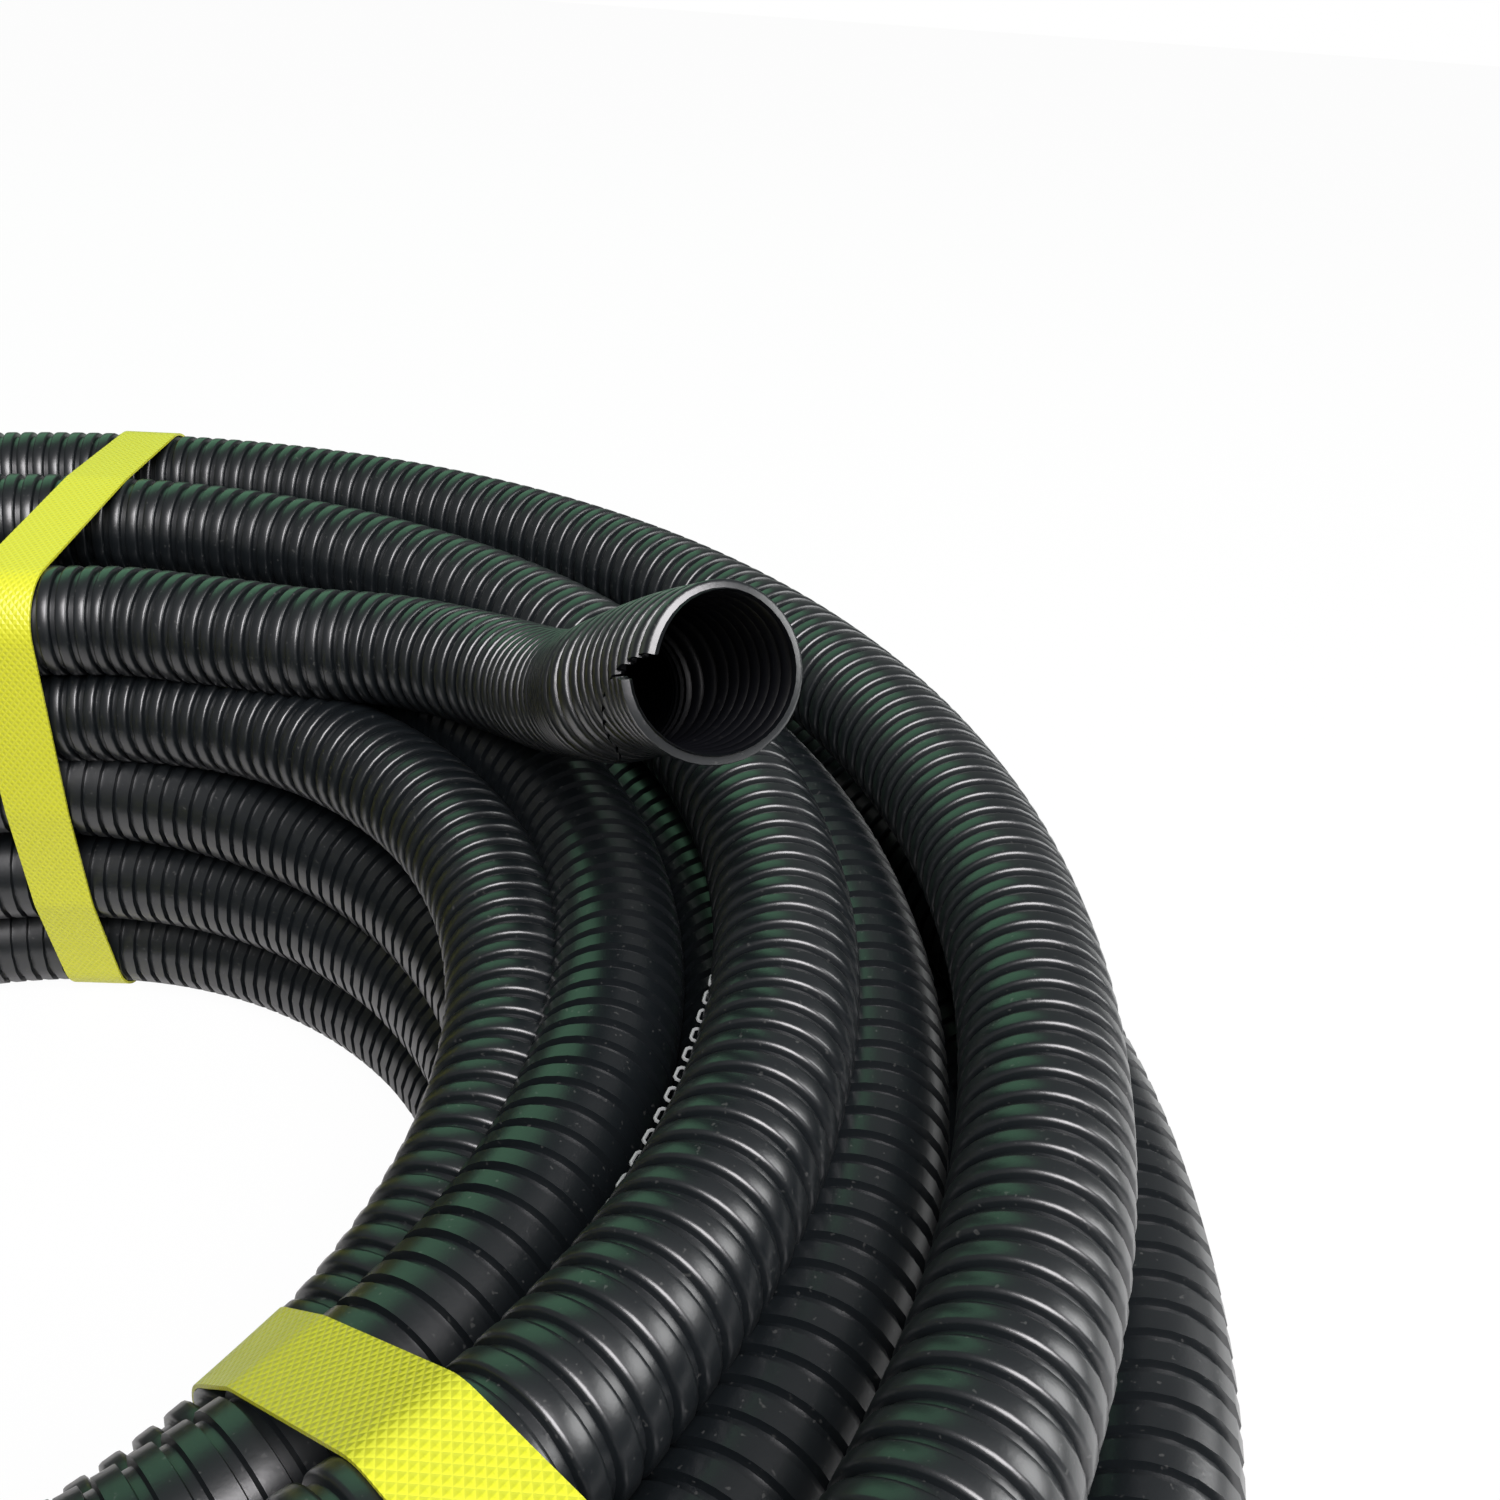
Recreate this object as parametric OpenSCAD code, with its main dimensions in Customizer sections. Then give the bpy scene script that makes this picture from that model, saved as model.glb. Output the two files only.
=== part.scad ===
// Coil of split corrugated conduit, tied with three flat straps, with its free end standing up.
// Origin: on the floor, on the coil's axis. +Z up.

/* [Conduit] */
// Outside diameter over the corrugation crests
tube_d = 28.5; // [26:0.5:32]
// Depth of the grooves between the crests
groove_h = 1.9; // [1.4:0.1:2.4]
// Thickness of the moulded wall
wall_t = 0.8; // [0.6:0.1:0.9]
// Distance from one corrugation to the next
pitch = 4.2; // [4:0.1:6]
// Length of a crest along the conduit
crest_w = 2.6; // [2.2:0.1:2.7]
// Width of the slit that runs along the conduit
slit_w = 1; // [0.6:0.1:2]

/* [Coil] */
// Radius of the innermost turn's centre line
coil_r = 94; // [80:1:140]
// Distance between the centres of neighbouring turns, in tube diameters
turn_spacing = 1; // [0.98:0.01:1.03]

/* [Free end] */
// Height of the mouth's centre above the centres of the top turns
rise = 60; // [45:1:80]
// Distance of the mouth's centre from the coil's axis
mouth_r = 158; // [140:1:180]
// Width of the slit where it has sprung open at the mouth
mouth_gap = 6; // [3:0.5:10]

/* [Straps] */
// Width of a strap
strap_w = 16; // [12:0.5:20]
// Thickness of a strap
strap_t = 0.7; // [0.5:0.1:1.2]
// Free play between a strap and the conduit
strap_gap = 0.1; // [0.05:0.05:0.3]

/* [Hidden] */
tube_r = tube_d / 2;
groove_r = tube_r - groove_h;
floor_z = strap_t + strap_gap;
step = turn_spacing * tube_d;
conduit_colour = "#1d1f20";
strap_colour = "#d2df2e";

// Turns on the outside of the coil's section, in order, from the innermost one on the floor:
// up the bore, over the top, down the outside and back along the floor. Each is given as its
// distance from the innermost turn and its height, both in turn spacings.
turns = [
    [0, 0], [0.45, 0.9], [0.2, 1.86], [0.82, 2.64], [1.78, 2.84], [2.7, 3.08],
    [2.78, 4.04], [3.56, 3.44], [4.36, 4.04], [4.96, 3.26], [4.6, 2.34], [5, 1.44],
    [4.52, 0.6], [5.1, 0], [4.08, 0], [3.06, 0], [2.04, 0], [1.02, 0]];
// Last turn, which lies on the others and ends in the free end
last_turn = [1.4, 3.74];
last_from = 52;
last_to = 185;
// Downward bend where the last turn goes in between the others
dive_r = 90;
dive_angle = 62;
// Angles of the straps round the coil, and the turns that hold each one out
strap_angles = [98, 211, 325];
over_turns = [[0, 0], [0.2, 1.86], [0.82, 2.64], [2.78, 4.04], [4.36, 4.04], [4.96, 3.26], [5.1, 0]];
over_last = [[0, 0], [0.2, 1.86], last_turn, [2.78, 4.04], [4.36, 4.04], [4.96, 3.26], [5.1, 0]];
// Length over which a strap's ends lie on each other and are welded
weld_l = 32;

function turn_centre(t) = [coil_r + step * t[0], floor_z + tube_r + step * t[1]];
function on_ring(t, a) = let (c = turn_centre(t)) [c[0] * cos(a), c[0] * sin(a), c[1]];

// The free end follows one curve from the last turn to its mouth.
top_z = turn_centre([0, 4.04])[1];
mouth_pos = [mouth_r * cos(-1), mouth_r * sin(-1), top_z + rise];
mouth_dir = [0.45, -0.74, 0.5];
leave_pos = on_ring(last_turn, last_from);
leave_dir = [sin(last_from), -cos(last_from), 0.06];
curve = [leave_pos, leave_pos + 56 * leave_dir, mouth_pos - 52 * mouth_dir, mouth_pos];
function bezier(p, t) = pow(1 - t, 3) * p[0] + 3 * t * pow(1 - t, 2) * p[1]
    + 3 * t * t * (1 - t) * p[2] + pow(t, 3) * p[3];
samples = 120;
lengths = [for (i = 0, s = 0; i <= samples; i = i + 1,
    s = s + norm(bezier(curve, min(i, samples) / samples) - bezier(curve, (i - 1) / samples)))
    [s, i / samples]];
end_length = lengths[samples][0];
ridges = floor(end_length / pitch);
function along(s) = bezier(curve, lookup(s, lengths));
function slit_half(s) = asin((slit_w + (mouth_gap - slit_w)
    * pow(max(0, 1 - (end_length - s) / 60), 2)) / tube_d);

module turned_towards(d) {
    rotate([0, acos(d[2] / norm(d)), atan2(d[1], d[0])]) children();
}

// One crest: a hollow ring, open inwards, with the slit on the side away from its bulge
module crest(half) {
    rotate(180 + half)
        rotate_extrude(angle = 360 - 2 * half, $fn = 64)
            polygon([
                [groove_r - wall_t / 2, -crest_w / 2], [tube_r, -crest_w / 2],
                [tube_r, crest_w / 2], [groove_r - wall_t / 2, crest_w / 2],
                [groove_r - wall_t / 2, crest_w / 2 - wall_t], [tube_r - wall_t, crest_w / 2 - wall_t],
                [tube_r - wall_t, wall_t - crest_w / 2], [groove_r - wall_t / 2, wall_t - crest_w / 2]]);
}

module groove(len, half) {
    rotate(180 + half)
        rotate_extrude(angle = 360 - 2 * half, $fn = 64)
            translate([groove_r - wall_t, 0]) square([wall_t, len]);
}

module free_end() {
    for (i = [0 : ridges - 1]) {
        s = end_length - pitch * (i + 0.5);
        here = along(s);
        last = along(s - pitch);
        ahead = along(s + pitch / 2) - along(s - pitch / 2);
        reach = crest_w / 2 - 0.75;
        gap = here - last;
        translate(here) turned_towards(ahead) crest(slit_half(s));
        if (i < ridges - 1)
            translate(last + gap * (reach / norm(gap))) turned_towards(gap)
                groove(norm(gap) - 2 * reach, slit_half(s) + 1.5);
    }
}

module coil() {
    for (t = turns)
        rotate_extrude($fn = 180) translate(turn_centre(t)) circle(r = tube_r, $fn = 48);
    rotate_extrude($fn = 180) polygon([for (t = turns) turn_centre(t)]);
    rotate(last_from)
        rotate_extrude(angle = last_to - last_from, $fn = 180)
            translate(turn_centre(last_turn)) circle(r = tube_r, $fn = 48);
}

// The last turn bends down into the coil in one arc and ends inside it.
module dive() {
    c = turn_centre(last_turn);
    rotate(last_to) translate([c[0], 0, c[1] - dive_r]) rotate([90, 0, 90])
        rotate_extrude(angle = dive_angle, $fn = 96)
            translate([dive_r, 0]) circle(r = tube_r, $fn = 48);
}

module conduit() {
    color(conduit_colour) {
        coil();
        dive();
        free_end();
    }
}

// Outline of a band drawn tight round the given turns, at distance r from their centres
function heading(a, b) = atan2(b[1] - a[1], b[0] - a[0]);
function bend(a) = a > 180 ? a - 360 : a < -180 ? a + 360 : a;
function band(around, r) = let (n = len(around)) [
    for (i = [0 : n - 1])
        let (c = strap_centre(around[i]),
             a1 = heading(strap_centre(around[(i + n - 1) % n]), c),
             turned = bend(heading(c, strap_centre(around[(i + 1) % n])) - a1),
             steps = ceil(abs(turned) / 8))
        for (k = [0 : steps])
            let (a = a1 + 90 + turned * k / steps)
            c + r * [cos(a), sin(a)]];
// In the bore a flat band stands off by the depth of the bore's curve across its width.
bore_sag = strap_w * strap_w / 8 / (coil_r - tube_r);
function strap_centre(t) = turn_centre(t) - [t[0] < 1 ? bore_sag : 0, 0];

module strap(n) {
    around = n == 0 ? over_last : over_turns;
    in_r = tube_r + strap_gap;
    low = strap_centre(around[6]);
    high = strap_centre(around[5]);
    color(strap_colour)
        rotate(strap_angles[n]) translate([0, strap_w / 2, 0]) rotate([90, 0, 0]) {
            linear_extrude(strap_w) difference() {
                polygon(band(around, in_r + strap_t));
                polygon(band(around, in_r));
            }
            linear_extrude(strap_w)
                translate((low + high) / 2) rotate(heading(high, low) + 90)
                    translate([in_r + strap_t / 2, -weld_l / 2]) square([1.5 * strap_t, weld_l]);
        }
}

conduit();
strap(0);  // strap_1
strap(1);  // strap_2
strap(2);  // strap_3
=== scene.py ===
import math

import bpy
from mathutils import Matrix, Vector


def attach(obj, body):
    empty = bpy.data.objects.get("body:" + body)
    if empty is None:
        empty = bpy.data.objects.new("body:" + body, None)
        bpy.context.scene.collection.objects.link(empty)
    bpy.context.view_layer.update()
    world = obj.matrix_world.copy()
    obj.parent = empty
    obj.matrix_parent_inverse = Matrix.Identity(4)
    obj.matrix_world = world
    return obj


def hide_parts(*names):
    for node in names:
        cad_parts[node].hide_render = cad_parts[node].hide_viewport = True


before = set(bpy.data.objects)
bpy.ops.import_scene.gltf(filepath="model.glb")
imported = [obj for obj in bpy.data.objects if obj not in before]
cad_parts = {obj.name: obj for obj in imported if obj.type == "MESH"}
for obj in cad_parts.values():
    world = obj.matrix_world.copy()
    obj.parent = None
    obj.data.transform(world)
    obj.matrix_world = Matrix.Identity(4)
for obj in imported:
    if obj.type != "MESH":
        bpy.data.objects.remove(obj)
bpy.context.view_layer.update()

# ---------------------------------------------------------------------------------------
# The wound turns.
# The conduit is one length of split black polypropylene tube, extruded and blown into square
# ridges and wound flat; on the outside of the bundle each turn shows as a ribbed ring.

# The tube's width over its crests, and the length along it of one ridge with its groove.
TUBE = 0.0285
RIDGE = 0.0053
RIDGE_DEPTH = 0.0014
# The straps pass under the coil.
UNDER_COIL = 0.0008
# Edges with more of a turn than this stay sharp.
SHARP_EDGE = math.radians(50)
CREST = TUBE / 2
GROOVE = CREST - RIDGE_DEPTH
LOWEST = UNDER_COIL + CREST


class Socket:
    """An output of a node. Sums and products of sockets add Math nodes to their tree."""

    def __init__(self, net, link):
        self.net = net
        self.link = link

    def __add__(self, other):
        return self.net.maths("ADD", self, other)

    def __sub__(self, other):
        return self.net.maths("SUBTRACT", self, other)

    def __rsub__(self, other):
        return self.net.maths("SUBTRACT", other, self)

    def __mul__(self, other):
        return self.net.maths("MULTIPLY", self, other)

    def __truediv__(self, other):
        return self.net.maths("DIVIDE", self, other)

    def __rtruediv__(self, other):
        return self.net.maths("DIVIDE", other, self)

    def __mod__(self, other):
        return self.net.maths("FLOORED_MODULO", self, other)

    def __pow__(self, other):
        return self.net.maths("POWER", self, other)

    __radd__ = __add__
    __rmul__ = __mul__

    def floor(self):
        return self.net.maths("FLOOR", self)

    def cos(self):
        return self.net.maths("COSINE", self)

    def sin(self):
        return self.net.maths("SINE", self)

    def at_least(self, level):
        return self.net.maths("MAXIMUM", self, level)

    def above(self, level):
        return self.net.maths("GREATER_THAN", self, level)

    def beside(self, name):
        """Another output of the same node."""
        return Socket(self.net, self.link.node.outputs[name])


class Net:
    """A node tree that is being built."""

    def __init__(self, tree):
        self.tree = tree

    def add(self, kind, settings=None, inputs=None, out=0):
        """A node of a type, with its settings and the values or links of its sockets."""
        node = self.tree.nodes.new(kind)
        for name, value in (settings or {}).items():
            if name == "stops":
                while len(node.color_ramp.elements) < len(value):
                    node.color_ramp.elements.new(1.0)
                for stop, (place, grey) in zip(node.color_ramp.elements, value):
                    stop.position = place
                    stop.color = (grey, grey, grey, 1.0)
            elif name == "cases":
                for _ in range(len(value) - 2):
                    node.index_switch_items.new()
                for number, case in enumerate(value):
                    node.inputs[number + 1].default_value = case
            else:
                setattr(node, name, value)
        for key, value in (inputs or {}).items():
            if isinstance(value, Socket):
                self.tree.links.new(value.link, node.inputs[key])
            else:
                node.inputs[key].default_value = value
        return Socket(self, node.outputs[out]) if node.outputs else None

    def maths(self, operation, *values):
        return self.add("ShaderNodeMath", {"operation": operation}, dict(enumerate(values)))

    def vectors(self, operation, *values):
        return self.add("ShaderNodeVectorMath", {"operation": operation}, dict(enumerate(values)))

    def point(self, x, y, z=0.0):
        return self.add("ShaderNodeCombineXYZ", {}, {"X": x, "Y": y, "Z": z})

    def choose(self, test, no, yes):
        return self.add("GeometryNodeSwitch", {"input_type": "FLOAT"},
                        {"Switch": test, "False": no, "True": yes})

    def pick(self, index, cases):
        return self.add("GeometryNodeIndexSwitch", {"data_type": "FLOAT", "cases": cases},
                        {"Index": index})

    def ease(self, value, start, end, before, after):
        """Goes smoothly from one number to another while a value goes from start to end."""
        return self.add("ShaderNodeMapRange", {"interpolation_type": "SMOOTHSTEP"}, {
            "Value": value, "From Min": start, "From Max": end, "To Min": before, "To Max": after})

    def store(self, shape, name, value):
        """Keeps a number on each point of a shape, for its material."""
        return self.add("GeometryNodeStoreNamedAttribute",
                        {"data_type": "FLOAT", "domain": "POINT"},
                        {"Geometry": shape, "Name": name, "Value": value})

    # A Mix node has its A and B once for every kind of value, so these go by number.
    def mix_colours(self, share, one, other):
        return self.add("ShaderNodeMix", {"data_type": "RGBA"},
                        {0: share, 6: one, 7: other}, out=2)

    def mix_points(self, share, one, other):
        return self.add("ShaderNodeMix", {"data_type": "VECTOR"},
                        {0: share, 4: one, 5: other}, out=1)

    def mix_shaders(self, share, one, other):
        return self.add("ShaderNodeMixShader", {}, {0: share, 1: one, 2: other})


def new_shape_tree(name, sizes):
    """A Geometry Nodes tree with named inputs for its sizes, and those inputs as sockets."""
    tree = bpy.data.node_groups.new(name, "GeometryNodeTree")
    for label, kind in sizes.items():
        tree.interface.new_socket(label, in_out="INPUT", socket_type=kind)
    tree.interface.new_socket("Shape", in_out="OUTPUT", socket_type="NodeSocketGeometry")
    net = Net(tree)
    source = tree.nodes.new("NodeGroupInput")
    return net, {label: Socket(net, source.outputs[label]) for label in sizes}


def end_shape_tree(net, shape, finish):
    """Ends a tree in real geometry of one material, its steep edges left sharp."""
    steep = net.add("GeometryNodeInputMeshEdgeAngle").above(SHARP_EDGE)
    shape = net.add("GeometryNodeSetShadeSmooth", {"domain": "FACE"},
                    {"Geometry": shape, "Shade Smooth": True})
    shape = net.add("GeometryNodeSetShadeSmooth", {"domain": "EDGE"},
                    {"Geometry": shape, "Selection": steep, "Shade Smooth": False})
    shape = net.add("GeometryNodeRealizeInstances", {}, {"Geometry": shape})
    shape = net.add("GeometryNodeSetMaterial", {}, {"Geometry": shape, "Material": finish})
    result = net.tree.nodes.new("NodeGroupOutput")
    net.tree.links.new(shape.link, result.inputs[0])
    return net.tree


def make_piece(name, tree, sizes):
    """Runs a tree once and keeps its result as a plain mesh that rides on the coil."""
    carrier = bpy.data.objects.new(name + "_tree", bpy.data.meshes.new(name + "_tree"))
    bpy.context.scene.collection.objects.link(carrier)
    modifier = carrier.modifiers.new("shape", "NODES")
    modifier.node_group = tree
    for item in tree.interface.items_tree:
        if item.in_out == "INPUT" and item.name in sizes:
            modifier[item.identifier] = sizes[item.name]
    seen = carrier.evaluated_get(bpy.context.evaluated_depsgraph_get())
    mesh = bpy.data.meshes.new_from_object(seen)
    carrier.modifiers.clear()
    bpy.data.objects.remove(carrier)
    piece = bpy.data.objects.new(name, mesh)
    bpy.context.scene.collection.objects.link(piece)
    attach(piece, "root")
    return piece


def black_plastic():
    """Satin black polypropylene with a faint mould texture and dust; painted shade darkens the
    tube's bore.
    """
    material = bpy.data.materials.new("black_plastic")
    material.use_nodes = True
    material.node_tree.nodes.clear()
    net = Net(material.node_tree)
    place = net.add("ShaderNodeTexCoord", out="Object")
    cloud = net.add("ShaderNodeTexNoise", {}, {"Vector": place, "Scale": 60.0, "Detail": 3.0})
    grain = net.add("ShaderNodeTexNoise", {}, {"Vector": place, "Scale": 1400.0, "Detail": 2.0})
    specks = net.add("ShaderNodeTexNoise", {}, {"Vector": place, "Scale": 900.0, "Detail": 1.0})
    dust = net.add("ShaderNodeValToRGB", {"stops": [(0.70, 0.0), (0.76, 1.0)]}, {"Fac": specks})
    colour = net.mix_colours(dust * 0.15, (0.0045, 0.0062, 0.0075, 1.0), (0.20, 0.20, 0.19, 1.0))
    relief = net.add("ShaderNodeBump", {}, {"Strength": 0.08, "Distance": 0.0002, "Height": grain})
    shader = net.add("ShaderNodeBsdfPrincipled", {},
                     {"Base Color": colour, "Roughness": 0.27 + cloud * 0.12, "Normal": relief,
                      "Specular IOR Level": 0.85})
    # Painted shade: on the tube's bore the finish is mixed towards near-black and hardly reflects.
    painted_bore_shade = net.add("ShaderNodeBsdfPrincipled", {},
                   {"Base Color": (0.002, 0.002, 0.003, 1.0), "Roughness": 0.5,
                    "Specular IOR Level": 0.1})
    inside = net.add("ShaderNodeAttribute", {"attribute_name": "inside"}, out="Fac")
    net.add("ShaderNodeOutputMaterial", {}, {
        "Surface": net.mix_shaders(inside * 0.85, shader, painted_bore_shade)})
    return material


BLACK = black_plastic()

# A ridge's edge is rounded from EDGE_LOW to EDGE_HIGH below its crest.
EDGE_LOW = 0.0006
EDGE_HIGH = 0.00015
# Stations along one ridge, as shares of its length, and the tube's radius at each: the
# groove's floor, up a steep wall, over a rounded edge, along the crest and down again.
FINE_RIDGE = [(0.0, GROOVE), (0.26, GROOVE), (0.30, CREST - EDGE_LOW), (0.34, CREST - EDGE_HIGH),
              (0.43, CREST), (0.82, CREST), (0.92, CREST - EDGE_HIGH), (0.96, CREST - EDGE_LOW)]
PLAIN_RIDGE = [(0.0, GROOVE), (0.26, GROOVE), (0.33, CREST), (0.93, CREST)]
# The ridges lie up to this share closer together or wider apart than evenly, and they are
# widest apart this far clockwise of the X axis.
RIDGES_CROWD = 0.14
WIDEST_AT = math.radians(40)
# How strongly a section's sides crowd together where it is finest.
SIDES_CROWD = 0.45


def uneven(share):
    """A ridge's angle round the coil: the ridges are pressed closer together at its back."""
    even = share * (2 * math.pi)
    return even + (even + WIDEST_AT).sin() * RIDGES_CROWD


def turn_tree(name, ridge):
    """One closed turn of ribbed tube, wandering a little from a true ring."""
    net, size = new_shape_tree(name, {
        "Radius": "NodeSocketFloat", "Height": "NodeSocketFloat",
        "Sway X": "NodeSocketFloat", "Sway Y": "NodeSocketFloat",
        "Oval X": "NodeSocketFloat", "Oval Y": "NodeSocketFloat",
        "Lean X": "NodeSocketFloat", "Lean Y": "NodeSocketFloat",
        "Finest at": "NodeSocketFloat", "Ridges": "NodeSocketInt", "Sides": "NodeSocketInt"})
    stations = len(ridge)
    index = net.add("GeometryNodeInputIndex")
    station = index % stations
    share = net.pick(station, [s for s, _ in ridge])
    turned = uneven(((index / stations).floor() + share) / size["Ridges"])
    across = (size["Radius"] + size["Sway X"] * turned.cos() + size["Sway Y"] * turned.sin()
              + size["Oval X"] * (turned * 2).cos() + size["Oval Y"] * (turned * 2).sin())
    up = size["Height"] + size["Lean X"] * turned.cos() + size["Lean Y"] * turned.sin()
    place = net.point(across * turned.cos(), across * turned.sin(), up)
    ring = net.add("GeometryNodeCurvePrimitiveCircle", {}, {
        "Resolution": size["Ridges"] * stations})
    ring = net.add("GeometryNodeSetPosition", {}, {"Geometry": ring, "Position": place})
    ring = net.add("GeometryNodeSetCurveNormal", {"mode": "Z_UP"}, {"Curve": ring})
    around = index / size["Sides"] * (2 * math.pi)
    around = around + around.sin() * SIDES_CROWD + size["Finest at"]
    section = net.add("GeometryNodeCurvePrimitiveCircle", {}, {"Resolution": size["Sides"]})
    section = net.add("GeometryNodeSetPosition", {}, {
        "Geometry": section, "Position": net.point(around.cos(), around.sin())})
    shape = net.add("GeometryNodeCurveToMesh", {}, {
        "Curve": ring, "Profile Curve": section, "Scale": net.pick(station, [r for _, r in ridge])})
    return end_shape_tree(net, shape, BLACK)


FINE_TURN = turn_tree("fine_turn", FINE_RIDGE)
PLAIN_TURN = turn_tree("plain_turn", PLAIN_RIDGE)

# Each turn: its radius and its height above the turns on the floor, in tube diameters; where
# its section is finest, in degrees up from straight inwards; its number of sides; whether it
# is finely ridged; and its sway, oval and lean along X and Y, in diameters.
TURNS = {
    "bore_floor": (4.90, 0.00, 190, 22, False, (-0.70, -0.10, 0, 0, 0, 0)),
    "bore_low": (4.85, 1.02, 180, 26, False, (-0.56, -0.28, 0, 0, -0.03, 0.01)),
    "bore_middle": (4.72, 2.00, 170, 26, False, (-0.36, -0.20, 0, 0, -0.29, 0.07)),
    "inner": (4.56, 2.68, 125, 30, True, (-0.33, 0, 0, 0, 0.23, 0.30)),
    "inner_under": (5.30, 3.09, 95, 24, False, (-0.40, 0.40, 0, 0, 0.07, 0.06)),
    "middle_under": (6.17, 2.85, 90, 16, False, (-0.31, 0.25, 0, 0, 0, 0)),
    "middle": (6.28, 4.06, 90, 32, True, (-0.19, 0.31, 0, 0, -0.23, -0.11)),
    "outer_under": (7.05, 3.33, 90, 22, False, (-0.33, 0.05, 0, 0, 0.02, 0.04)),
    "outer": (8.10, 4.14, 75, 30, True, (-0.45, -0.11, 0, 0, 0, -0.20)),
    "side_top": (8.35, 2.99, 30, 24, False, (-0.04, -0.20, 0.05, -0.28, -0.26, -0.10)),
    "side_upper": (8.05, 1.98, 0, 14, False, (-0.04, -0.20, 0.05, -0.30, -0.10, 0)),
    "side_middle": (8.40, 1.03, 0, 14, False, (-0.04, -0.15, 0.05, -0.30, 0, 0)),
    "floor_1": (8.20, 0.00, -30, 14, False, (-0.10, -0.15, 0, -0.20, 0, 0)),
    "floor_2": (7.10, 0.00, -90, 12, False, (-0.20, -0.15, 0, -0.10, 0, 0)),
    "floor_3": (6.00, 0.00, -90, 12, False, (-0.40, -0.15, 0, 0, 0, 0)),
}

for name, (radius, up, finest_at, sides, fine, wander) in TURNS.items():
    sizes = {"Radius": TUBE * radius, "Height": LOWEST + TUBE * up,
             "Finest at": math.radians(finest_at), "Sides": sides,
             "Ridges": round(2 * math.pi * TUBE * radius / RIDGE)}
    for label, share in zip(("Sway X", "Sway Y", "Oval X", "Oval Y", "Lean X", "Lean Y"), wander):
        sizes[label] = TUBE * share
    turn = make_piece("turn_" + name, FINE_TURN if fine else PLAIN_TURN, sizes)
    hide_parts("conduit")

# The turns inside the bundle never show; one dark core stands for them, so that no light falls
# through the gaps. Its corners are at the middles of the turns round it, or this far below, in
# tube diameters.
CORE_STEPS = 120
CORE_CORNERS = {"bore_floor": 0, "bore_low": 0, "bore_middle": 0, "inner_under": 0.5,
                "middle_under": 0.5, "outer_under": 0.5, "side_upper": 0, "side_middle": 0,
                "floor_1": 0}


def turn_centre(name, angle):
    """Distance from the coil's axis and height of a turn's middle at an angle round the coil."""
    radius, up, _, _, _, (sway_x, sway_y, oval_x, oval_y, lean_x, lean_y) = TURNS[name]
    across = (radius + sway_x * math.cos(angle) + sway_y * math.sin(angle)
              + oval_x * math.cos(2 * angle) + oval_y * math.sin(2 * angle))
    height = up + lean_x * math.cos(angle) + lean_y * math.sin(angle)
    return (TUBE * across, LOWEST + TUBE * height)


core_points = []
core_faces = []
for step in range(CORE_STEPS):
    angle = 2 * math.pi * step / CORE_STEPS
    here = step * len(CORE_CORNERS)
    ahead = (step + 1) % CORE_STEPS * len(CORE_CORNERS)
    for corner, (name, below) in enumerate(CORE_CORNERS.items()):
        across, up = turn_centre(name, angle)
        core_points.append((across * math.cos(angle), across * math.sin(angle), up - TUBE * below))
        beyond = (corner + 1) % len(CORE_CORNERS)
        core_faces.append((here + corner, here + beyond, ahead + beyond, ahead + corner))
core_mesh = bpy.data.meshes.new("turn_core")
core_mesh.from_pydata(core_points, [], core_faces)
core_mesh.materials.append(BLACK)
core = bpy.data.objects.new("turn_core", core_mesh)
bpy.context.scene.collection.objects.link(core)
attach(core, "root")
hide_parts("conduit")

# The slit shows on one of the top turns. How high a ridge has to be for the slit's edge to
# stand out from it, and the thickness of the line that the stretched plastic makes.
STANDS_OUT_FROM = 0.6
CUT_LINE = 0.00064


def slit_edge_tree():
    """The cut edge of a turn's slit, which follows the ridges and stands a little proud."""
    net, size = new_shape_tree("slit_edge", {
        "First": "NodeSocketInt", "Ridges": "NodeSocketInt", "Round the coil": "NodeSocketInt",
        "Section angle": "NodeSocketFloat", "Stands out": "NodeSocketFloat"})
    radius, up, _, _, _, (sway_x, sway_y, _, _, lean_x, lean_y) = TURNS["middle"]
    stations = len(FINE_RIDGE)
    index = net.add("GeometryNodeInputIndex")
    share = net.pick(index % stations, [place for place, _ in FINE_RIDGE])
    turned = uneven(((index / stations).floor() + size["First"] + share) / size["Round the coil"])
    faded = (index / (size["Ridges"] * stations) * math.pi).sin().at_least(0) ** 0.5
    height = net.pick(index % stations, [(r - GROOVE) / RIDGE_DEPTH for _, r in FINE_RIDGE])
    reach = size["Stands out"] * (height - STANDS_OUT_FROM) * faded + CREST - EDGE_LOW
    across = (radius + turned.cos() * sway_x + turned.sin() * sway_y) * TUBE
    across = across + reach * size["Section angle"].cos()
    height = (up + turned.cos() * lean_x + turned.sin() * lean_y) * TUBE + LOWEST
    height = height + reach * size["Section angle"].sin()
    place = net.point(across * turned.cos(), across * turned.sin(), height)
    line = net.add("GeometryNodeMeshLine", {}, {"Count": size["Ridges"] * stations})
    line = net.add("GeometryNodeMeshToCurve", {}, {"Mesh": line})
    line = net.add("GeometryNodeSetPosition", {}, {"Geometry": line, "Position": place})
    section = net.add("GeometryNodeCurvePrimitiveCircle", {}, {
        "Resolution": 6, "Radius": CUT_LINE / 2})
    shape = net.add("GeometryNodeCurveToMesh", {}, {
        "Curve": line, "Profile Curve": section, "Fill Caps": True})
    return end_shape_tree(net, shape, cut_plastic())


def cut_plastic():
    """Black polypropylene turned pale where a knife has stretched it."""
    material = bpy.data.materials.new("cut_plastic")
    material.use_nodes = True
    material.node_tree.nodes.clear()
    net = Net(material.node_tree)
    shader = net.add("ShaderNodeBsdfPrincipled", {},
                     {"Base Color": (0.30, 0.31, 0.31, 1.0), "Roughness": 0.45})
    net.add("ShaderNodeOutputMaterial", {}, {"Surface": shader})
    return material


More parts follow.
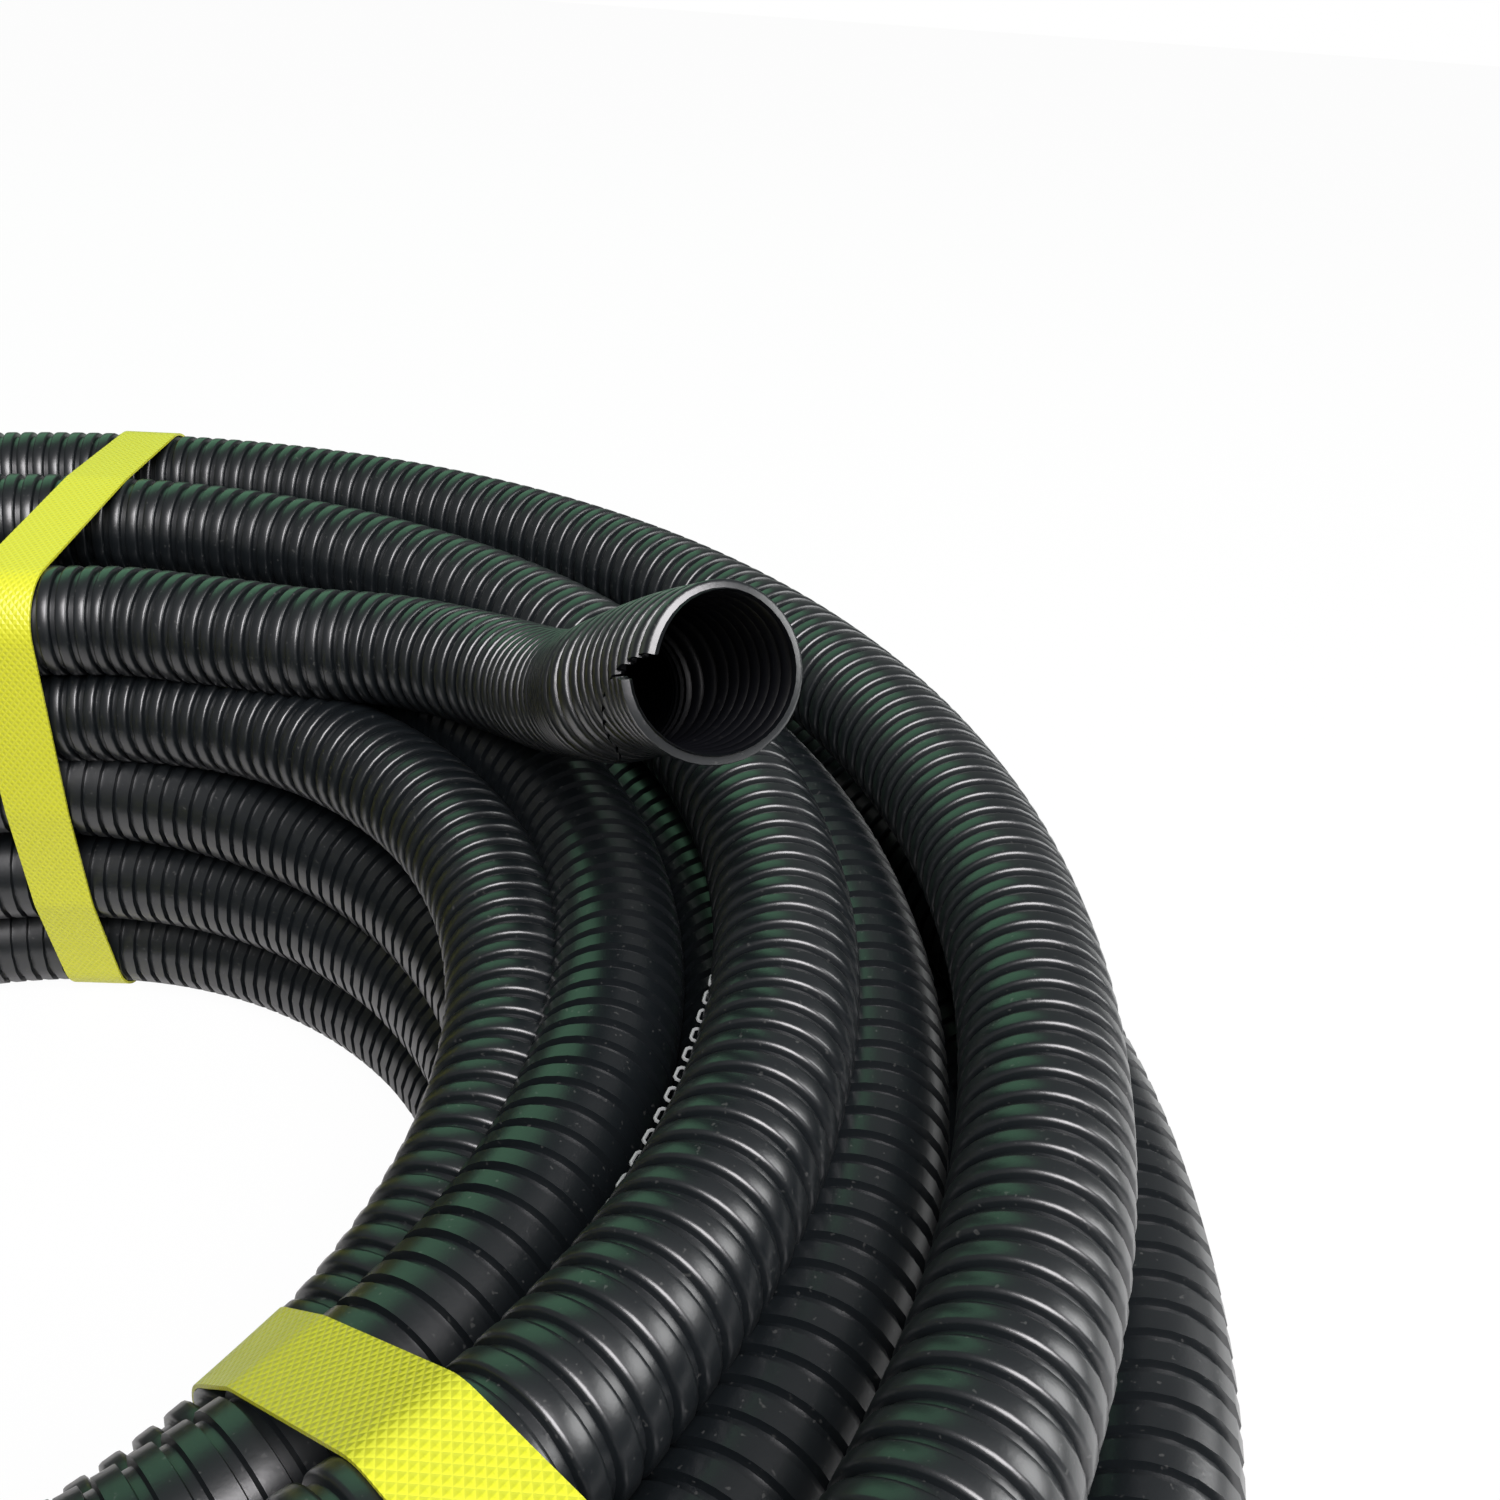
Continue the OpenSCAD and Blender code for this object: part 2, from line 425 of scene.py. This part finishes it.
slit_edge = make_piece("slit_edge", slit_edge_tree(), {
    "First": -14, "Ridges": 12, "Section angle": math.radians(170),
    "Round the coil": round(2 * math.pi * TUBE * TURNS["middle"][0] / RIDGE),
    "Stands out": 0.0042})
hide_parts("conduit")

# ---------------------------------------------------------------------------------------
# The last turn and the free end.
# The same tube, lying on the other turns and then bending up and out of the coil. It is cut
# square across a groove, and its slit, cut along it after moulding, springs open at the mouth.

FREE_RIDGE = 0.0046
WALL = 0.0005
SLIT = 0.0006
MOUTH_GAP = 0.0048
# The tube's bore follows its ridges from inside, at the same number of stations.
FINE_BORE = [(0.0, GROOVE - WALL), (0.35, GROOVE - WALL), (0.38, CREST - WALL - EDGE_LOW),
             (0.41, CREST - WALL - EDGE_HIGH), (0.48, CREST - WALL), (0.76, CREST - WALL),
             (0.80, CREST - WALL - EDGE_HIGH), (0.84, CREST - WALL - EDGE_LOW)]
# The cut is this share of a ridge into a groove, with a bit of the groove's floor left on.
CUT_AT = 0.2
STUB = 0.0005
# How far behind the mouth the slit turns round the tube.
SLIT_TURNS_FROM = 0.1 * TUBE
SLIT_TURNS_TO = 2.4 * TUBE
# Points of a sheet nearer to each other than this are one point.
SAME_POINT = 0.000002


def free_end_tree():
    """A slit, hollow, ribbed tube along a path; the path ends at the mouth."""
    net, size = new_shape_tree("free_end", {
        "Path": "NodeSocketObject", "Ridges": "NodeSocketInt", "Sides": "NodeSocketInt",
        "Slit": "NodeSocketFloat", "Mouth gap": "NodeSocketFloat",
        "Sprung length": "NodeSocketFloat", "Slit at mouth": "NodeSocketFloat",
        "Slit turn": "NodeSocketFloat", "Lip bend": "NodeSocketFloat"})
    stations = len(FINE_RIDGE)
    sides = size["Sides"]
    rows = size["Ridges"] * stations + 1
    loop = sides * 2
    index = net.add("GeometryNodeInputIndex")
    row = (index / (loop + 1)).floor()
    spot = (index % (loop + 1)) % loop
    station = row % stations
    inside = spot.above(sides - 0.5)
    closed_off = (0.5 - row).above(0) + row.above(rows - 1.5)
    share = net.choose(inside, net.pick(station, [place for place, _ in FINE_RIDGE]),
                       net.pick(station, [place for place, _ in FINE_BORE]))
    radius = net.choose(inside, net.pick(station, [r for _, r in FINE_RIDGE]),
                        net.pick(station, [r for _, r in FINE_BORE]))
    radius = radius + closed_off * (inside * 2 - 1) * (WALL / 2)
    back = (((row / stations).floor() + share - CUT_AT) * FREE_RIDGE + STUB).at_least(0)
    sprung = (1 - back / size["Sprung length"]).at_least(0) ** 2
    gap = (size["Slit"] + (size["Mouth gap"] - size["Slit"]) * sprung) / (2 * CREST)
    across = net.choose(inside, spot / (sides - 1), 1 - (spot - sides) / (sides - 1))
    # One lip of the slit bends in, and the other one stands out half as far.
    bent_in = net.ease(across, 0.0, 0.3, 1.0, 0.0) - net.ease(across, 0.6, 1.0, 0.0, 0.5)
    radius = radius * math.pi / (math.pi - gap) - size["Lip bend"] * sprung * bent_in
    slit_at = net.ease(back, SLIT_TURNS_FROM, SLIT_TURNS_TO,
                       size["Slit at mouth"], size["Slit at mouth"] - size["Slit turn"])
    angle = slit_at + gap + (2 * math.pi - gap * 2) * across
    path = net.add("GeometryNodeObjectInfo", {}, {"Object": size["Path"]}, out="Geometry")
    length = net.add("GeometryNodeCurveLength", {}, {"Curve": path})
    place = net.add("GeometryNodeSampleCurve", {"mode": "LENGTH"},
                    {"Curves": path, "Length": length - back}, out="Position")
    tangent = place.beside("Tangent")
    side = net.vectors("NORMALIZE", net.vectors("CROSS_PRODUCT", tangent, (0, 0, 1)))
    rise = net.vectors("CROSS_PRODUCT", side, tangent)
    place = net.vectors("MULTIPLY_ADD", side, radius * angle.cos(), place)
    place = net.vectors("MULTIPLY_ADD", rise, radius * angle.sin(), place)
    sheet = net.add("GeometryNodeMeshGrid", {}, {"Vertices X": rows, "Vertices Y": loop + 1})
    sheet = net.add("GeometryNodeSetPosition", {}, {"Geometry": sheet, "Position": place})
    # The bore's faces are marked, and there the material paints shade into the tube.
    sheet = net.store(sheet, "inside", inside)
    # The sheet's faces look into the wall.
    sheet = net.add("GeometryNodeMergeByDistance", {}, {"Geometry": sheet, "Distance": SAME_POINT})
    return end_shape_tree(net, sheet, BLACK)


# The height of the top turns' middles.
TOP = LOWEST + TUBE * 4.1
# Places along the last turn, against its winding: the angle round the coil in degrees, and
# the distance from the axis and the height above the top turns in tube diameters.
LAST_TURN = [(228, 5.2, -1.5), (215, 5.0, -1.1), (200, 4.8, -0.55), (180, 4.7, -0.25),
             (155, 4.65, -0.2), (125, 4.6, -0.2), (94, 4.58, -0.2), (82, 4.58, -0.2),
             (70, 4.66, -0.18), (59, 4.93, -0.12), (48, 5.07, 0.0), (40, 5.12, 0.15),
             (34, 5.08, 0.35), (27, 5.08, 0.65), (20, 5.01, 1.01), (14, 5.0, 1.31),
             (8.6, 5.2, 1.65), (-1.3, 5.56, 2.21)]
# A little over one more than its path has room for: the rest lies folded at its hidden end.
LAST_TURN_RIDGES = 137


def last_turn_centre(angle):
    """As turn_centre, for the last turn; nothing where it doesn't reach."""
    degrees = math.degrees(angle) % 360
    for (one, across, up), (two, next_across, next_up) in zip(LAST_TURN, LAST_TURN[1:]):
        if two <= degrees <= one:
            share = (one - degrees) / (one - two)
            return (TUBE * (across + (next_across - across) * share),
                    TOP + TUBE * (up + (next_up - up) * share))
    return None


path = bpy.data.curves.new("last_turn_path", "CURVE")
path.dimensions = "3D"
spline = path.splines.new("BEZIER")
spline.bezier_points.add(len(LAST_TURN) - 1)
for point, (angle, across, up) in zip(spline.bezier_points, LAST_TURN):
    point.co = (TUBE * across * math.cos(math.radians(angle)),
                TUBE * across * math.sin(math.radians(angle)), TOP + TUBE * up)
    point.handle_left_type = "AUTO"
    point.handle_right_type = "AUTO"
spline.resolution_u = 24
path_holder = bpy.data.objects.new("last_turn_path", path)
bpy.context.scene.collection.objects.link(path_holder)
last_turn = make_piece("last_turn", free_end_tree(), {
    "Path": path_holder, "Ridges": LAST_TURN_RIDGES, "Sides": 38, "Slit": SLIT,
    "Mouth gap": MOUTH_GAP, "Sprung length": 0.032, "Slit at mouth": math.radians(11),
    "Slit turn": math.radians(108), "Lip bend": 0.0028})
bpy.data.objects.remove(path_holder)
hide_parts("conduit")

# ---------------------------------------------------------------------------------------
# The straps.
# Flat lime-yellow polypropylene bands, rolled with a diamond pattern. Each is drawn tight
# round the bundle, and its ends are welded together where they lie on each other.

STRAP_WIDTH = 0.016
STRAP_THICK = 0.0007
STRAP_PLAY = 0.0001
WELD = 0.030
SEAM_HEIGHT = 0.035
# The rolled diamonds, along and across the band.
DIAMOND_LONG = 0.0024
DIAMOND_WIDE = 0.0017
# The last stretch starts to climb this far before the weld, and has climbed this far into it.
CLIMB_BEFORE = 0.006
CLIMB_INTO = 0.002


def strap_plastic():
    """Glossy lime-yellow polypropylene, rolled with small raised diamonds."""
    material = bpy.data.materials.new("strap_plastic")
    material.use_nodes = True
    material.node_tree.nodes.clear()
    net = Net(material.node_tree)
    along = net.add("ShaderNodeAttribute", {"attribute_name": "along"}, out="Fac") / DIAMOND_LONG
    across = net.add("ShaderNodeAttribute", {"attribute_name": "across"}, out="Fac") / DIAMOND_WIDE
    one_way = net.maths("PINGPONG", along + across, 0.5)
    other_way = net.maths("PINGPONG", along - across, 0.5)
    diamond = net.maths("SMOOTH_MIN", one_way, other_way, 0.1) * 2
    place = net.add("ShaderNodeTexCoord", out="Object")
    threads = net.add("ShaderNodeTexNoise", {}, {"Vector": place, "Scale": 900.0, "Detail": 2.0})
    colour = net.mix_colours(diamond * 0.8, (0.58, 0.59, 0.035, 1.0), (0.475, 0.49, 0.011, 1.0))
    relief = net.add("ShaderNodeBump", {}, {
        "Strength": 0.6, "Distance": 0.0003, "Height": diamond + threads * 0.25})
    shader = net.add("ShaderNodeBsdfPrincipled", {}, {
        "Base Color": colour, "Roughness": 0.38, "Normal": relief, "Specular IOR Level": 0.4})
    net.add("ShaderNodeOutputMaterial", {}, {"Surface": shader})
    return material


def strap_tree():
    """A flat band between two paths round the bundle; it ends on top of its own beginning."""
    net, size = new_shape_tree("strap", {
        "Left edge": "NodeSocketObject", "Right edge": "NodeSocketObject",
        "Side": "NodeSocketVector", "Rows": "NodeSocketInt", "Columns": "NodeSocketInt",
        "Overlap": "NodeSocketFloat"})
    columns = size["Columns"]
    loop = columns * 2
    index = net.add("GeometryNodeInputIndex")
    row = (index / (loop + 1)).floor()
    spot = (index % (loop + 1)) % loop
    under = spot.above(columns - 0.5)
    share = net.choose(under, spot / (columns - 1), 1 - (spot - columns) / (columns - 1))
    edges = []
    for edge in ("Left edge", "Right edge"):
        path = net.add("GeometryNodeObjectInfo", {}, {"Object": size[edge]}, out="Geometry")
        edges.append(net.add("GeometryNodeSampleCurve", {"mode": "FACTOR"},
                             {"Curves": path, "Factor": row / (size["Rows"] - 1)}, out="Position"))
    length = net.add("GeometryNodeCurveLength", {}, {"Curve": path})
    along = row / (size["Rows"] - 1) * length
    across = (share - 0.5) * STRAP_WIDTH
    outwards = net.vectors("CROSS_PRODUCT", size["Side"], edges[1].beside("Tangent"))
    outwards = net.vectors("NORMALIZE", outwards)
    # The last stretch climbs on to the first, and both ends thin out to an edge.
    weld_from = length - size["Overlap"]
    climb = net.ease(along, weld_from - CLIMB_BEFORE, weld_from + CLIMB_INTO,
                     0.0, STRAP_THICK + STRAP_PLAY)
    ends = (0.5 - row).above(0) + row.above(size["Rows"] - 1.5)
    thick = STRAP_THICK * (1 - ends)
    place = net.vectors("MULTIPLY_ADD", outwards, climb + thick * (1 - under),
                        net.mix_points(share, *edges))
    sheet = net.add("GeometryNodeMeshGrid", {}, {
        "Vertices X": size["Rows"], "Vertices Y": loop + 1})
    sheet = net.add("GeometryNodeSetPosition", {}, {"Geometry": sheet, "Position": place})
    for name, value in (("along", along), ("across", across)):
        sheet = net.store(sheet, name, value)
    sheet = net.add("GeometryNodeMergeByDistance", {}, {"Geometry": sheet, "Distance": SAME_POINT})
    return end_shape_tree(net, sheet, STRAP)


# Each round section that a strap goes round has this many corners, and a turn's climb is
# measured over this angle.
CORNERS = 96
CLIMB_ANGLE = 0.04
# Steps that bring a point on a line on to a turn that sways.
HOMING_STEPS = 8


def tight_outline(circles):
    """The shortest loop round circles, each given as its middle and its radius."""
    round_angles = [2 * math.pi * i / CORNERS for i in range(CORNERS)]
    points = sorted({(x + r * math.cos(angle), y + r * math.sin(angle))
                     for x, y, r in circles for angle in round_angles})
    halves = []
    for run in (points, points[::-1]):
        half = []
        for point in run:
            while len(half) > 1 and ((half[-1][0] - half[-2][0]) * (point[1] - half[-2][1])
                                     <= (half[-1][1] - half[-2][1]) * (point[0] - half[-2][0])):
                half.pop()
            half.append(point)
        halves += half[:-1]
    return halves


def on_line(start, way, ring):
    """Where a vertical plane cuts a turn: distance along the plane, height, and the cut's reach."""
    along = 0.0
    for _ in range(HOMING_STEPS):
        here = start + way * along
        turned = math.atan2(here.y, here.x)
        across, up = ring(turned)
        along = -start.dot(way) + math.sqrt(start.dot(way) ** 2 + across ** 2 - start.dot(start))
    # A turn that climbs is cut at a slant, so its section there is taller.
    ahead, behind = ring(turned + CLIMB_ANGLE / 2), ring(turned - CLIMB_ANGLE / 2)
    climb = (ahead[1] - behind[1]) / (CLIMB_ANGLE * across)
    return along, up, (CREST + STRAP_PLAY) * math.hypot(1, climb)


def first_stretch(points, length):
    """The beginning of a line of points, cut off at a length."""
    kept = [points[0]]
    for one, two in zip(points, points[1:]):
        step = math.dist(one, two)
        if step >= length:
            share = length / step
            kept.append((one[0] + (two[0] - one[0]) * share, one[1] + (two[1] - one[1]) * share))
            break
        kept.append(two)
        length -= step
    return kept


def strap_edge(name, start, way, rings):
    """A curve drawn tight round the bundle in a vertical plane, its last stretch on its first."""
    outline = tight_outline([on_line(start, way, ring) for ring in rings])
    # The outline runs upwards on the outside of the bundle, and the seam is there.
    for after in range(len(outline)):
        one, two = outline[after - 1], outline[after]
        if one[1] < SEAM_HEIGHT <= two[1]:
            share = (SEAM_HEIGHT - one[1]) / (two[1] - one[1])
            seam = (one[0] + (two[0] - one[0]) * share, SEAM_HEIGHT)
            loop = [seam] + outline[after:] + outline[:after] + [seam]
    points = loop + first_stretch(loop, WELD)[1:]
    edge = bpy.data.curves.new(name, "CURVE")
    edge.dimensions = "3D"
    spline = edge.splines.new("POLY")
    spline.points.add(len(points) - 1)
    for point, (along, up) in zip(spline.points, points):
        here = start + way * along
        point.co = (here.x, here.y, up, 1.0)
    holder = bpy.data.objects.new(name, edge)
    bpy.context.scene.collection.objects.link(holder)
    return holder


STRAP = strap_plastic()
STRAP_TREE = strap_tree()
BUNDLE_MIDDLE = 5.5 * TUBE
# Each strap: its angle round the coil and how far it is turned from straight outwards.
STRAPS = {"strap_1": (100.5, -8.3), "strap_2": (211.0, 0.0), "strap_3": (-37.9, -6.6)}
for name, (angle, skew) in STRAPS.items():
    rings = [lambda turned, turn=turn: turn_centre(turn, turned) for turn in TURNS]
    if last_turn_centre(math.radians(angle)):
        rings.append(last_turn_centre)
    middle = Vector((math.cos(math.radians(angle)), math.sin(math.radians(angle)))) * BUNDLE_MIDDLE
    way = Vector((math.cos(math.radians(angle + skew)), math.sin(math.radians(angle + skew))))
    side = Vector((way.y, -way.x))
    edges = [strap_edge(name + "_edge", middle + side * (STRAP_WIDTH * share), way, rings)
             for share in (-0.5, 0.5)]
    strap = make_piece(name + "_band", STRAP_TREE, {
        "Left edge": edges[0], "Right edge": edges[1], "Side": (-side.x, -side.y, 0.0),
        "Rows": 400, "Columns": 5, "Overlap": WELD})
    for edge in edges:
        bpy.data.objects.remove(edge)
    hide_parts(name)

# ---------------------------------------------------------------------------------------
# The room: a plain pale floor, which keeps a little of the coil's shadow, soft lamps and the
# camera. The floor and the world show white to the camera, but give the coil little light.

FLOOR_REACH = 4.0
WHITE = (1.0, 1.0, 1.0, 1.0)


def pale_floor():
    """White to the camera but for a trace of shadow, and pale grey to the coil."""
    material = bpy.data.materials.new("pale_floor")
    material.use_nodes = True
    material.node_tree.nodes.clear()
    net = Net(material.node_tree)
    seen = net.add("ShaderNodeLightPath", out="Is Camera Ray")
    mirrored = seen.beside("Is Glossy Ray")
    plain = net.add("ShaderNodeBsdfDiffuse", {}, {"Color": (0.80, 0.80, 0.80, 1.0)})
    white = net.add("ShaderNodeEmission", {}, {"Color": WHITE})
    net.add("ShaderNodeOutputMaterial", {}, {
        "Surface": net.mix_shaders(seen * 0.97 + mirrored * 0.1, plain, white)})
    return material


floor_corners = [(-FLOOR_REACH, -FLOOR_REACH, 0), (FLOOR_REACH, -FLOOR_REACH, 0),
                 (FLOOR_REACH, FLOOR_REACH, 0), (-FLOOR_REACH, FLOOR_REACH, 0)]
floor_mesh = bpy.data.meshes.new("floor")
floor_mesh.from_pydata(floor_corners, [], [(0, 1, 2, 3)])
floor_mesh.materials.append(pale_floor())
floor = bpy.data.objects.new("floor", floor_mesh)
bpy.context.scene.collection.objects.link(floor)

ROOM_LIGHT = 0.18
world = bpy.data.worlds.new("room")
bpy.context.scene.world = world
world.use_nodes = True
world.node_tree.nodes.clear()
net = Net(world.node_tree)
seen = net.add("ShaderNodeLightPath", out="Is Camera Ray")
net.add("ShaderNodeOutputWorld", {}, {"Surface": net.add("ShaderNodeBackground", {}, {
    "Color": WHITE, "Strength": ROOM_LIGHT + seen * (1 - ROOM_LIGHT)})})

LAMPS_AIM = (0, 0, 0.1)


def lamp(name, place, size, power, tint=(1.0, 1.0, 1.0)):
    """A square soft lamp at a place, turned to the coil."""
    light = bpy.data.lights.new(name, "AREA")
    light.size = size
    light.energy = power
    light.color = tint
    holder = bpy.data.objects.new(name, light)
    way = [a - p for a, p in zip(LAMPS_AIM, place)]
    holder.location = place
    holder.rotation_euler = (math.atan2(math.hypot(way[0], way[1]), -way[2]), 0,
                             math.atan2(way[1], way[0]) - math.pi / 2)
    bpy.context.scene.collection.objects.link(holder)


lamp("key", place=(0.40, -0.70, 1.15), size=0.85, power=31, tint=(1.0, 0.97, 0.99))
lamp("back", place=(-0.5, 1.3, 0.9), size=1.2, power=3.5, tint=(0.3, 1.0, 0.5))
lamp("side", place=(1.3, 0.1, 0.7), size=0.7, power=9)

# The camera looks along the coil's Y axis, tilted down by its pitch and rolled a little.
CAMERA_PLACE = (5.758 * TUBE, -7.339 * TUBE, TOP + 6.01 * TUBE)
PITCH = math.radians(30.86)
ROLL = math.radians(3.93)
camera = bpy.data.objects.new("camera", bpy.data.cameras.new("camera"))
camera.data.sensor_width = 36.0
camera.data.lens = 34.93
camera.data.clip_start = 0.01
camera.matrix_world = (Matrix.Translation(CAMERA_PLACE)
                       @ Matrix.Rotation(math.pi / 2 - PITCH, 4, "X")
                       @ Matrix.Rotation(ROLL, 4, "Z"))
bpy.context.scene.collection.objects.link(camera)
bpy.context.scene.camera = camera
bpy.context.scene.view_settings.view_transform = "Standard"
